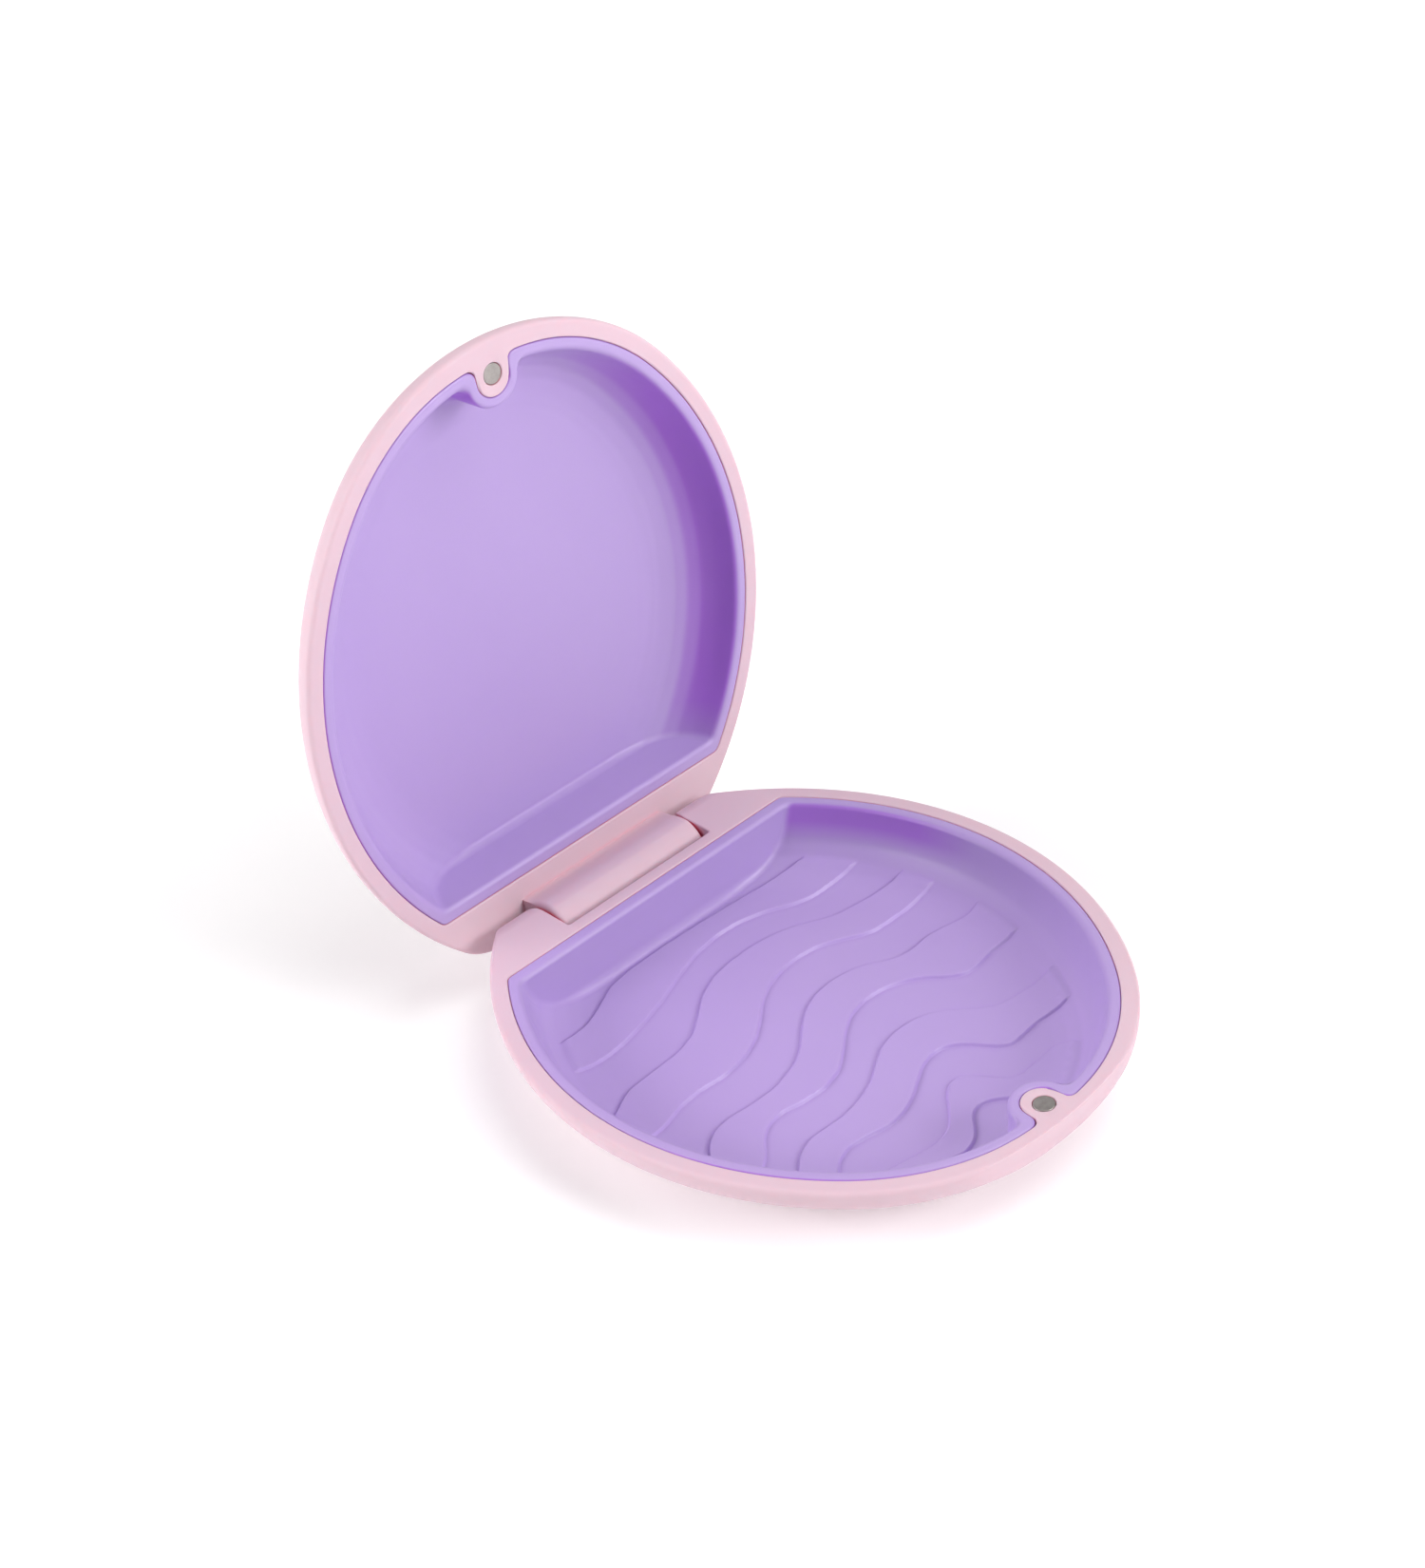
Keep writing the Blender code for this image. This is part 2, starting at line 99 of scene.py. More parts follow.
# --- ribs: rear and front edges of each raised band, as (x, f)
RIB_H, RIB_EDGE = 0.46, 0.40
RIBS = (
    (((-24.5, 16.3), (-20, 15.2), (-16, 13.3), (-12.5, 11.5), (-8.5, 10.9), (-2, 10.75), (6.5, 11.1), (14, 11.7), (20, 12.6), (25, 13.6)),
     ((-30, 23.1), (-23.5, 22.7), (-19.5, 22.3), (-15, 21.3), (-10, 19.8), (-5, 17.8), (0, 16.1), (5, 15.4), (9, 15.7), (13, 16.9),
      (16.5, 18.8), (19.5, 19.9), (23, 20.2), (29, 21.0))),
    (((-30.5, 32.8), (-28, 31), (-25.5, 29.8), (-21, 29.6), (-16, 29.4), (-12.5, 28.4), (-9.5, 26.3), (-6, 23.5), (-2, 21.6), (2, 20.9),
      (6.5, 20.8), (10.5, 21.4), (14, 22.6), (16.5, 24.1), (19.5, 25.5), (24, 26.2), (30, 27.4)),
     ((-30.5, 40.1), (-27.5, 39.2), (-24, 38), (-20, 37.7), (-15.5, 38.2), (-11, 37.5), (-7.5, 36), (-4.5, 33.8), (-1.5, 31.2),
      (1.5, 29.5), (5, 28.4), (8.5, 28.1), (12, 28.6), (15, 30), (17.5, 31.6), (19.75, 32.6), (24, 32.8), (31, 33))),
    (((-28.25, 48.3), (-26.5, 46.2), (-24, 44.7), (-21, 44.4), (-17, 44.9), (-12.5, 44.9), (-8, 43.7), (-5, 42), (-2, 39.3), (1, 37),
      (4, 35.7), (7.5, 35.2), (11, 35.6), (14, 36.8), (16, 38.2), (18, 39.2), (20.5, 39.4), (24, 39), (27, 39.6), (30, 41)),
     ((-25.75, 55.6), (-23.5, 54), (-21, 51.1), (-19, 49.9), (-16, 49.4), (-13, 50.2), (-9, 50.5), (-5, 49.5), (-2, 47.3), (1, 44.8),
      (4, 42.9), (7.5, 42.1), (11, 42.4), (14, 43.5), (16.5, 45.3), (18.5, 47.7), (20.5, 49.3), (23.5, 49.4), (26.5, 48.9), (30, 49.6))),
    (((-23.25, 59.5), (-20.5, 57), (-17.5, 55.7), (-14.5, 55.8), (-11, 56), (-7.5, 55.4), (-4, 54.2), (-1, 52.3), (2, 50.5), (5.5, 49.7),
      (9, 49.9), (11.5, 50.8), (14, 52.7), (16.5, 55.5), (18.5, 57), (21, 57.5), (26, 58.6)),
     ((-20.1, 63.8), (-18, 61.9), (-15, 61), (-12, 61.5), (-9, 62.3), (-6, 62.1), (-3, 61), (0, 59.2), (2.5, 57.7), (5, 57.1),
      (7, 57.2), (9, 58.6), (10.5, 60.7), (11.75, 62.9), (13.25, 64.2), (16, 64), (19, 63.8), (23, 64.9))),
    (((-17.5, 68.2), (-14, 67.9), (-10.5, 68.7), (-7, 69.2), (-4, 68.4), (-1.5, 66.2), (0.5, 63.8), (2.5, 62.5), (4.5, 62.6),
      (6, 64.5), (7.5, 67.4), (9.5, 69), (12, 68.8), (16.5, 68.9), (18.3, 70.2), (19.4, 74), (20, 84)),
     ((-12, 72.2), (-9, 73), (-6.5, 73.8), (-4, 73), (-2, 71.2), (-0.5, 69.3), (1.5, 68.7), (3.5, 69.5), (5.5, 71.5), (8, 74.5),
      (11, 77), (18, 78))),
)


# ------------------------------------------------------------------ plan geometry
def smax(a, b, k):
    h = np.maximum(k - np.abs(a - b), 0.0) / k
    return np.maximum(a, b) + h * h * k / 4


def smin(a, b, k):
    return -smax(-a, -b, k)


def step(v):
    v = np.clip(v, 0.0, 1.0)
    return v * v * (3 - 2 * v)


def g_oval(x, f):
    """Distance outside the liner's arcs, negative inside."""
    ax = np.abs(x)
    front = np.hypot(ax, f - FRONT_F) - FRONT_R
    side = np.hypot(ax + SPREAD * math.sin(BLEND), f - FRONT_F + SPREAD * math.cos(BLEND)) - SIDE_R
    return np.where(np.arctan2(ax, f - FRONT_F) <= BLEND, front, side)


def g_liner(x, f):
    """The liners' own outline, before the rear wall and the catch boss are cut from it."""
    return g_oval(x, f) + FRONT_FLAT * np.exp(-((x / FRONT_FLAT_W) ** 2)) * np.clip((f - PLAN_F) / 20, 0, 1)


def g_boss(x, f, radius):
    """Positive on the catch boss, which is round at the rear and runs straight out to the rim."""
    return radius - np.hypot(x, np.minimum(f - BOSS_F, 0.0))


def outline(x, f, grow, chord_f, boss_r, boss_k=1.8):
    """Negative inside the notched plan outline."""
    inside = smax(g_liner(x, f) - grow, chord_f - f, 0.5)
    return smax(inside, g_boss(x, f, boss_r), boss_k)


def ray_points(psi, radius):
    return radius * np.sin(psi), PLAN_F + radius * np.cos(psi)


def solve_rays(psi, field, low=4.0, high=52.0, steps=240):
    """The first radius along each ray at which a field turns positive."""
    radii = np.linspace(low, high, steps)
    x, f = ray_points(psi[:, None], radii[None, :])
    positive = field(x, f) > 0
    first = np.where(positive.any(1), positive.argmax(1), steps - 1)
    lo, hi = radii[np.maximum(first - 1, 0)], radii[first]
    for _ in range(26):
        mid = (lo + hi) / 2
        x, f = ray_points(psi, mid)
        out = field(x, f) > 0
        hi = np.where(out, mid, hi)
        lo = np.where(out, lo, mid)
    return (lo + hi) / 2


def seam_gap(x, f):
    """The seam stands open a little in the corner on one side of the catch boss."""
    return 0.20 * np.exp(-(((x + 3.9) / 0.75) ** 2) - ((f - 82.75) / 0.6) ** 2)


def contour(psi, grow, chord_f, boss_r, boss_k=1.8):
    return solve_rays(psi, lambda x, f: outline(x, f, grow, chord_f, boss_r, boss_k))


def ray_oval(psi, grow):
    return solve_rays(psi, lambda x, f: g_oval(x, f) - grow, low=10.0)


def chord_ray(psi, chord_f):
    c = -np.cos(psi)
    return np.where(c > 0.05, (PLAN_F - chord_f) / np.maximum(c, 0.05), 1e3)


def turn_angles(base_step):
    """Angles round the plan, closer together at the catch boss and at the rear corners."""
    spots = [(0.0, 0.35), (3.2, 0.25), (3.9, 0.045), (5.2, 0.05), (5.4, 0.09), (7.8, 0.12), (8.6, base_step),
             (128, base_step), (134, 0.3), (150, 0.3), (156, base_step), (180, base_step)]
    at, steps = zip(*spots)
    half = [0.0]
    while half[-1] < 180.0:
        half.append(half[-1] + float(np.interp(half[-1], at, steps)))
    half = np.array(half) * (180.0 / half[-1])
    return np.radians(np.concatenate([half, 360.0 - half[-2:0:-1]]))


PSI = turn_angles(0.5)
TURNS = len(PSI)


# ------------------------------------------------------------------ section curves
class Curve:
    """A smoothed depth curve over inward distance, with its slope."""

    def __init__(self, points, soft, passes=3, step=0.02):
        xs, ys = map(np.array, zip(*points))
        self.t = np.arange(xs[0] - 3.0, xs[-1] + 3.0, step)
        lead = ys[0] + (self.t - xs[0]) * (ys[1] - ys[0]) / (xs[1] - xs[0])
        y = np.where(self.t < xs[0], lead, np.interp(self.t, xs, ys))
        width = max(int(soft / step) | 1, 3)
        for _ in range(passes):
            padded = np.concatenate([y[0] + (y[1] - y[0]) * np.arange(-(width // 2), 0), y, np.full(width // 2, y[-1])])
            y = np.convolve(padded, np.ones(width) / width, mode="valid")
        self.y = y
        self.slope_y = np.gradient(y, step)

    def __call__(self, t):
        return np.interp(t, self.t, self.y)

    def slope(self, t):
        return np.interp(t, self.t, self.slope_y)

    def inverse(self, depth):
        keep = np.concatenate([[True], np.diff(np.maximum.accumulate(self.y)) > 1e-9])
        return np.interp(depth, np.maximum.accumulate(self.y)[keep], self.t[keep])


def outer_profile(fine=True):
    """Skin section as (grow, depth), from the rim's flat edge to the underside's flat."""
    n_edge, n_turn, n_cone, n_dish = (7, 12, 8, 22)
    points = []
    for i in range(n_edge + 1):
        a = math.pi / 2 * i / n_edge
        points.append((RIM_OUT - EDGE_R * (1 - math.sin(a)), EDGE_R * (1 - math.cos(a))))
    for i in range(1, n_turn + 1):
        a = SHOULDER_TURN * i / n_turn
        points.append((RIM_OUT - SHOULDER_R * (1 - math.cos(a)), EDGE_R + SHOULDER_R * math.sin(a)))
    g, d = points[-1]
    slope = 1 / math.tan(SHOULDER_TURN)
    for i in range(1, n_cone + 1):
        points.append((g - CONE_RUN * i / n_cone, d + CONE_RUN * slope * i / n_cone))
    g, d = points[-1]
    run = 2 * (HALF_H - d) / slope
    for i in range(1, n_dish + 1):
        s = i / n_dish
        points.append((g - run * s, d + (HALF_H - d) * (2 * s - s * s)))
    return points


def inset_profile(thickness, wall_grow, floor_d):
    """The skin section moved inward, from the foot of a straight wall to a floor."""
    outer = np.array(outer_profile()[8:])
    tangent = np.gradient(outer, axis=0)
    tangent /= np.linalg.norm(tangent, axis=1)[:, None]
    moved = outer + np.stack([-tangent[:, 1], tangent[:, 0]], 1) * thickness
    moved = moved[(moved[:, 0] < wall_grow - 0.05) & (moved[:, 1] < floor_d - 0.05)]
    foot = moved[0][1] - 0.1
    points = [(wall_grow, foot)] + [tuple(p) for p in moved[::3]]
    g = moved[-1][0] - 0.6
    return points + [(g, floor_d), (g - 3.0, floor_d), (g - 9.0, floor_d)]


# ------------------------------------------------------------------ placing points
LID_TURN = Matrix.Rotation(-OPEN, 3, "X")


class Half:
    def __init__(self, name, up):
        self.name, self.up = name, up
        self.rim = AXIS_DEPTH + up * RIM_GAP / 2
        turn = LID_TURN if up > 0 else Matrix.Identity(3)
        self.turn = np.array(turn)

    def world(self, x, f, d):
        local = np.stack([x, -f, self.rim + self.up * d], -1) * MM
        return local @ self.turn.T + np.array(AXIS)

    def direction(self, nx, nf, nd):
        return np.stack([nx, -nf, self.up * nd], -1) @ self.turn.T


BASE, LID = Half("base", -1), Half("lid", 1)


def mesh_object(name, points, faces):
    mesh = bpy.data.meshes.new(name)
    mesh.from_pydata([tuple(p) for p in points], [], faces)
    mesh.validate(clean_customdata=False)
    bm = bmesh.new()
    bm.from_mesh(mesh)
    bmesh.ops.recalc_face_normals(bm, faces=bm.faces)
    bm.to_mesh(mesh)
    bm.free()
    obj = bpy.data.objects.new(name, mesh)
    bpy.context.scene.collection.objects.link(obj)
    return obj


def ring_faces(first, count, rings):
    """Quads between successive rings of the same length, numbered one after another."""
    i = np.arange(count)
    j = (i + 1) % count
    faces = []
    for k in range(rings - 1):
        a, b = first + k * count, first + (k + 1) * count
        faces += np.stack([a + i, a + j, b + j, b + i], 1).tolist()
    return faces


# ------------------------------------------------------------------ soft liner surface
class Liner:
    def __init__(self, half, curve, ribs=()):
        self.half, self.curve, self.ribs = half, curve, ribs
        self.wall_f = WALL_F
        self.lean = 0.30 / FLOOR_D
        self.wrap_r = BOSS_R + SEAM + RIM_W

    def rib_edge(self, x, f):
        """Distance outside the nearest rib's long edges, negative on it."""
        best = np.full(np.shape(x), 99.0)
        for rear, front in self.ribs:
            behind = (rear(x) - f) / np.sqrt(1 + rear.slope(x) ** 2)
            ahead = (f - front(x)) / np.sqrt(1 + front.slope(x) ** 2)
            best = np.minimum(best, np.maximum(behind, ahead))
        return best

    def rib(self, x, f, d=FLOOR_D):
        if not self.ribs:
            return np.zeros(np.shape(x))

        t = -g_liner(x, f)
        return RIB_H * step(0.5 - self.rib_edge(x, f) / RIB_EDGE) * step((t - 5.0) / 1.6) * step((d - 6.0) / 1.2)

    def air(self, x, f, d):
        """Negative in the hollow, positive in the liner's wall and floor."""
        t = -g_liner(x, f)
        bowl = (d - self.curve(t)) / np.sqrt(1 + self.curve.slope(t) ** 2)
        chord = self.wall_f + self.lean * d - f
        boss = g_boss(x, f, self.wrap_r + 0.02 * d)
        return smax(smax(bowl, chord, 0.8), boss, 2.0)

    def solid(self, x, f, d):
        """Negative inside the liner, near its upper surface."""
        d = d + self.rib(x, f, d)
        s = smax(-self.air(x, f, d), -d, 0.75)
        return smax(s, outline(x, f, -SEAM, CHORD_F + SEAM, BOSS_R + SEAM) + seam_gap(x, f), 0.42)

    def gradient(self, p):
        h = 0.012
        parts = []
        for axis in range(3):
            step = np.zeros(3)
            step[axis] = h
            parts.append((self.solid(*(p + step).T) - self.solid(*(p - step).T)) / (2 * h))
        return np.stack(parts, -1)

    def settle(self, p, rounds=6):
        for _ in range(rounds):
            grad = self.gradient(p)
            size = np.maximum((grad ** 2).sum(1), 0.04)
            step = (self.solid(*p.T) / size)[:, None] * grad
            length = np.linalg.norm(step, axis=1)[:, None]
            p = p - step * np.minimum(1.0, 0.25 / np.maximum(length, 1e-9))
        return p

    def first_depth(self, x, f):
        """Depth of the hollow by its sharp-edged parts."""
        t = -g_liner(x, f)
        chord = (f - self.wall_f) / self.lean
        boss = -g_boss(x, f, self.wrap_r) / 0.02
        return np.clip(np.minimum(np.minimum(self.curve(t), chord), boss), 0.0, FLOOR_D)

    def build(self, name):
        curve = self.curve
        rings, fixed = [], []

        def add(radius, depth, held=False):
            x, f = ray_points(PSI, radius)
            rings.append(np.stack([x, f, np.broadcast_to(depth, x.shape).astype(float)], -1))
            fixed.append(held)

        def skirt(g):
            return solve_rays(PSI, lambda x, f: outline(x, f, g, CHORD_F + SEAM, BOSS_R + SEAM) + seam_gap(x, f))

        # underside, from its middle outward, then up the outer wall
        under = inset_profile(LINER_UNDER, -SEAM, UNDER_D)
        for g, d in reversed(under):
            add(skirt(g), d, True)
        outer = skirt(-SEAM)
        for d in (2.6, 1.4, 0.8, 0.5):
            add(outer, d, True)
        for d in (0.34, 0.22, 0.13, 0.06):
            add(outer, d)
        # rim band
        inner = solve_rays(PSI, lambda x, f: self.air(x, f, 0.0 * x))
        # the hollow's edge is where the air field turns positive
        for s in (0.04, 0.1, 0.18, 0.3, 0.42, 0.54, 0.64, 0.74, 0.83, 0.9, 0.96):
            add(outer + (inner - outer) * s, 0.0)
        # wall
        deep = list(np.arange(0.06, 0.6, 0.09)) + list(np.arange(0.65, 2.0, 0.22)) + list(np.arange(2.2, 7.3, 0.32))
        for d in deep:
            radius = contour(PSI, -curve.inverse(d), self.wall_f + self.lean * d, self.wrap_r + 0.02 * d, 0.8)
            add(radius, d)
        last_t = float(curve.inverse(deep[-1]))
        edge_a = radius
        edge_b = contour(PSI, -(last_t + 0.55), self.wall_f + 1.15, self.wrap_r + 1.1, 1.2)
        for s in (0.06, 0.14, 0.24, 0.36, 0.5, 0.66, 0.83, 1.0):
            r = edge_a + (edge_b - edge_a) * s
            add(r, self.first_depth(*ray_points(PSI, r)))
        count = len(rings)
        points = np.concatenate(rings)
        faces = ring_faces(0, TURNS, count)
        faces.append(list(range(TURNS)))
        held = np.repeat(fixed, TURNS)

        # floor
        edge_ids = np.arange((count - 1) * TURNS, count * TURNS)
        if self.ribs:
            floor, tris = self.floor_patch(points[edge_ids][:, :2])
            depth = self.first_depth(floor[:, 0], floor[:, 1]) - self.rib(floor[:, 0], floor[:, 1])
            base_id = len(points) - TURNS
            points = np.concatenate([points, np.column_stack([floor, depth])[TURNS:]])
            faces += [[(edge_ids[v] if v < TURNS else base_id + v) for v in tri] for tri in tris]
        else:
            shares = [1 - (i + 1) / 42 for i in range(40)]
            for s in shares:
                r = edge_b * s
                x, f = ray_points(PSI, r)
                points = np.concatenate([points, np.stack([x, f, self.first_depth(x, f)], -1)])
            faces += ring_faces((count - 1) * TURNS, TURNS, len(shares) + 1)
            faces.append(list(range(len(points) - TURNS, len(points))))
        free = np.ones(len(points), bool)
        free[: len(held)] = ~held
        points[free] = self.settle(points[free])
        normals = np.zeros_like(points)
        grad = self.gradient(points[free])
        grad /= np.maximum(np.linalg.norm(grad, axis=1)[:, None], 1e-9)
        normals[free] = grad

        obj = mesh_object(name, self.half.world(*points.T), faces)
        obj.data.shade_smooth()
        vertex = np.zeros(len(points) * 3, np.float32)
        obj.data.vertices.foreach_get("normal", vertex)
        vertex = vertex.reshape(-1, 3)
        turned = self.half.direction(*normals.T)
        use = free & (np.linalg.norm(turned, axis=1) > 0.5)
        vertex[use] = turned[use]
        obj.data.normals_split_custom_set_from_vertices([tuple(v) for v in vertex])
        return obj

    def floor_patch(self, edge):
        """Triangles over the floor, finer along the ribs' edges."""
        fine = 0.15
        rows = np.arange(6.0, 82.0, fine * math.sqrt(3) / 2)
        cols = np.arange(-36.0, 36.0, fine)
        j, i = np.meshgrid(np.arange(len(rows)), np.arange(len(cols)), indexing="ij")
        x = cols[i] + (j % 2) * fine / 2
        f = rows[j]
        near = np.abs(self.rib_edge(x, f))
        keep = near < 0.36
        for level, reach in ((2, 0.8), (4, 1.7), (8, 99.0)):
            shift = (j // level) % 2 * (level // 2)
            keep |= (j % level == 0) & ((i + shift) % level == 0) & (near < reach)
        reach = np.hypot(x, f - PLAN_F)
        edge_r = np.hypot(edge[:, 0], edge[:, 1] - PLAN_F)
        psi = np.mod(np.arctan2(x, f - PLAN_F), 2 * math.pi)
        limit = np.interp(psi, np.append(PSI, 2 * math.pi), np.append(edge_r, edge_r[0]))
        keep &= reach < limit - 0.22
        inner = np.stack([x[keep], f[keep]], 1)
        every = np.concatenate([edge, inner])
        made, _, tris, source, _, _ = delaunay_2d_cdt(
            [Vector(p) for p in every.tolist()], [], [list(range(len(edge)))], 1, 1e-6, True
        )
        order = [ids[0] if ids else -1 for ids in source]
        out = np.array([[v[0], v[1]] for v in made])
        extra = len(every)
        full = np.concatenate([every, np.zeros((len(out), 2))])
        remap = []
        for k, ids in enumerate(order):
            if ids >= 0:
                remap.append(ids)
            else:
                full[extra] = out[k]
                remap.append(extra)
                extra += 1
        return full[:extra], [[remap[v] for v in tri] for tri in tris]


# ------------------------------------------------------------------ shells
def base_back(depth):
    turn_d = AXIS_DEPTH + BACK_R * math.sin(BACK_TURN)
    turn_f = -BACK_R * math.cos(BACK_TURN)
    if depth <= AXIS_DEPTH:
        return -BACK_R
    if depth <= turn_d:
        return -math.sqrt(BACK_R**2 - (depth - AXIS_DEPTH) ** 2)
    s = 1 - math.sqrt(max(1 - (depth - turn_d) / (HALF_H - turn_d), 0.0))
    return turn_f + (FLAT_F - turn_f) * s


def lid_back(grow):
    return LID_BACK_F + (RIM_OUT - EDGE_R - grow) * 0.55


def shell(half, back_of, scooped):
    rings = []

    def add(radius, depth):
        x, f = ray_points(PSI, radius)
        rings.append(np.stack([x, f, np.broadcast_to(depth, x.shape).astype(float)], -1))

    profile = outer_profile()
    # underside's flat, from the middle outward
    g, d = profile[-1]
    flat = smin(ray_oval(PSI, g), chord_ray(PSI, back_of(g, d)), 3.0)
    for s in (0.3, 0.6, 0.85):
        add(flat * s, HALF_H)
    for g, d in reversed(profile):
        radius = smin(ray_oval(PSI, g), chord_ray(PSI, back_of(g, d)), 3.0)
        if scooped:
            x, f = ray_points(PSI, radius)
            front = np.cos(PSI) > 0
            reach = np.where(front, np.clip(1 - (x / SCOOP_HALF) ** 2, 0, 1), 0)
            low = 0.4 + SCOOP_DEPTH * reach
            s = np.clip(d / low, 0, 1.2)
            taken = (RIM_OUT - SCOOP_LAND) * reach + 0.9 * reach * np.sin(np.pi * np.clip(s, 0, 1)) * 0.5
            target = RIM_OUT - taken - 0.6 * np.clip(s, 0, 1.2) ** 2 * reach
            limit = ray_oval(PSI, 0.0) + target
            cut = smin(radius, limit, 0.08)
            radius = np.where(reach > 0, cut, radius)
        add(radius, d)
    outer_edge = radius
    seam = contour(PSI, SEAM, CHORD_F - SEAM, BOSS_R - SEAM)
    soft = 0.24
    inner_edge = contour(PSI, SEAM + soft, CHORD_F - SEAM - soft, BOSS_R - SEAM - soft)
    inner_support = contour(PSI, SEAM + soft + 0.14, CHORD_F - SEAM - soft - 0.14, BOSS_R - SEAM - soft - 0.14)
    gap = inner_support - outer_edge
    add(outer_edge + np.sign(gap) * np.minimum(0.14, np.abs(gap) * 0.3), 0.0)
    add(outer_edge + gap * 0.5, 0.0)
    add(inner_support, 0.0)
    for i in range(5):
        a = math.pi / 2 * i / 4
        add(inner_edge + (seam - inner_edge) * math.sin(a), soft * (1 - math.cos(a)))
    under = inset_profile(SHELL_T, SEAM, POCKET_D)
    for d in (0.8, 1.8):
        add(seam, d)
    for g, d in under:
        add(contour(PSI, g, CHORD_F - SEAM, BOSS_R - SEAM), d)
    points = np.concatenate(rings)
    faces = ring_faces(0, TURNS, len(rings))
    faces.append(list(range(TURNS)))
    faces.append(list(range(len(points) - TURNS, len(points))))
    return mesh_object(half.name + "_case", half.world(*points.T), faces)


def prism(name, half, polygon, low, high, soft=0.0, share=None):
    """A body along x from a closed (f, d) outline, its two ends rounded over a given radius times each point's share."""
    outline_points = np.array(polygon)
    before, after = np.roll(outline_points, 1, 0), np.roll(outline_points, -1, 0)

    def unit(v):
        return v / np.maximum(np.linalg.norm(v, axis=1)[:, None], 1e-9)

    run = unit(outline_points - before) + unit(after - outline_points)
    inward = unit(np.stack([-run[:, 1], run[:, 0]], 1))
    area2 = np.cross(outline_points, after).sum()
    if area2 < 0:
        inward = -inward
    if share is not None:
        inward = inward * np.array(share)[:, None]
    steps = np.radians(np.linspace(0, 90, 9)) if soft else np.array([0.0])
    sections = [(low + soft * (1 - math.cos(a)), soft * (1 - math.sin(a))) for a in steps]
    sections += [(high - (x - low), inset) for x, inset in reversed(sections)]
    rings = []
    for x, inset in sections:
        moved = outline_points + inward * inset
        rings.append(half.world(np.full(len(moved), float(x)), moved[:, 0], moved[:, 1]))
    n = len(outline_points)
    points = np.concatenate(rings)
    faces = ring_faces(0, n, len(rings))
    faces.append(list(range(n)))
    faces.append(list(range(len(points) - n, len(points))))
    return mesh_object(name, points, faces)


def turned(name, half, x, f, profile, axis="d", segments=96):
    """A round body from (radius, along) points, about the depth direction or about x."""
    rings = []
    a = np.linspace(0, 2 * math.pi, segments, endpoint=False)
    for radius, along in profile:
        if axis == "d":
            rings.append(half.world(x + radius * np.cos(a), f + radius * np.sin(a), np.full(segments, float(along))))
        else:
            rings.append(half.world(np.full(segments, float(along)), f + radius * np.cos(a), x + radius * np.sin(a)))
    points = np.concatenate(rings)
    faces = ring_faces(0, segments, len(rings))
    faces.append(list(range(segments)))
    faces.append(list(range(len(points) - segments, len(points))))
    return mesh_object(name, points, faces)


def combine(obj, tools, operation):
    """Boolean with a set of tools, applied at once; the tools are removed."""
    for tool in tools:
        mod = obj.modifiers.new("cut", "BOOLEAN")
        mod.operation, mod.object, mod.solver = operation, tool, "EXACT"
    bpy.context.view_layer.update()
    done = bpy.data.meshes.new_from_object(obj.evaluated_get(bpy.context.evaluated_depsgraph_get()))
    obj.modifiers.clear()
    if len(done.polygons) < len(obj.data.polygons) // 2:
        raise RuntimeError(obj.name + ": a Boolean removed most of it")
    obj.data = done
    for tool in tools:
        bpy.data.objects.remove(tool, do_unlink=True)
    return obj


def finish_shading(obj, angle=34):
    obj.data.shade_smooth()
    obj.data.set_sharp_from_angle(angle=math.radians(angle))
    mod = obj.modifiers.new("weights", "WEIGHTED_NORMAL")
    mod.mode, mod.weight, mod.keep_sharp = "FACE_AREA", 50, True
    return obj


def parting(points):
    """(f, depth below the parting plane) to this base's own depth below its rim."""
    return [(f, d - RIM_GAP / 2) for f, d in points]


def slot_cutter():
    """The hinge slot: its walls flare gently at the rear and its upper edges come out rounded."""
    def plan(out):
        side = SLOT_HALF + out
        r = 0.45
        half = [(side + 0.078 * (0.5 - f) ** 2, f) for f in np.linspace(-9.0, 0.4, 26)]
        for a in np.linspace(0, math.pi / 2, 6):
            half.append((side - r + r * math.cos(a), SLOT_F + out - r + r * math.sin(a)))
        return np.array([(HINGE_X + x, f) for x, f in half] + [(HINGE_X - x, f) for x, f in reversed(half)])

    soft = 0.28
    levels = [(soft + 0.02, -3.0), (soft, -0.004)]
    levels += [(soft * (1 - math.sin(a)), soft * (1 - math.cos(a))) for a in np.linspace(0, math.pi / 2, 6)[1:]]
    levels.append((0.0, SLOT_D))
    rings = [BASE.world(*plan(out).T, np.full(len(plan(out)), float(d))) for out, d in levels]
    n = len(rings[0])
    points = np.concatenate(rings)
    faces = ring_faces(0, n, len(rings))
    faces.append(list(range(n)))
    faces.append(list(range(len(points) - n, len(points))))
    return mesh_object("slot", points, faces)


def nose_pocket():
    """The round-bottomed part of the slot that the tab's nose turns into."""
    axis_d, r, rear = AXIS_DEPTH - RIM_GAP / 2, SLOT_F - 0.02, 1.30
    pts = [(rear, axis_d), (rear, axis_d + math.sqrt(r * r - rear * rear))]
    for a in np.linspace(math.acos(rear / r), 0, 24)[1:]:
        pts.append((r * math.cos(a), axis_d + r * math.sin(a)))
    return prism("pocket", BASE, pts, HINGE_X - SLOT_HALF + 0.02, HINGE_X + SLOT_HALF - 0.02)


def ear_cutter():
    R = 4.57
    axis_d = AXIS_DEPTH - RIM_GAP / 2
    pts = []
    for a in np.linspace(86.5, 0, 24):
        a = math.radians(a)
        pts.append((-R * math.cos(a), axis_d - R * math.sin(a)))
    f0 = pts[0][0]
    pts += [(-9.0, axis_d), (-9.0, -4.0), (f0, -4.0)]
    return prism("ear", BASE, pts, -45, 45)


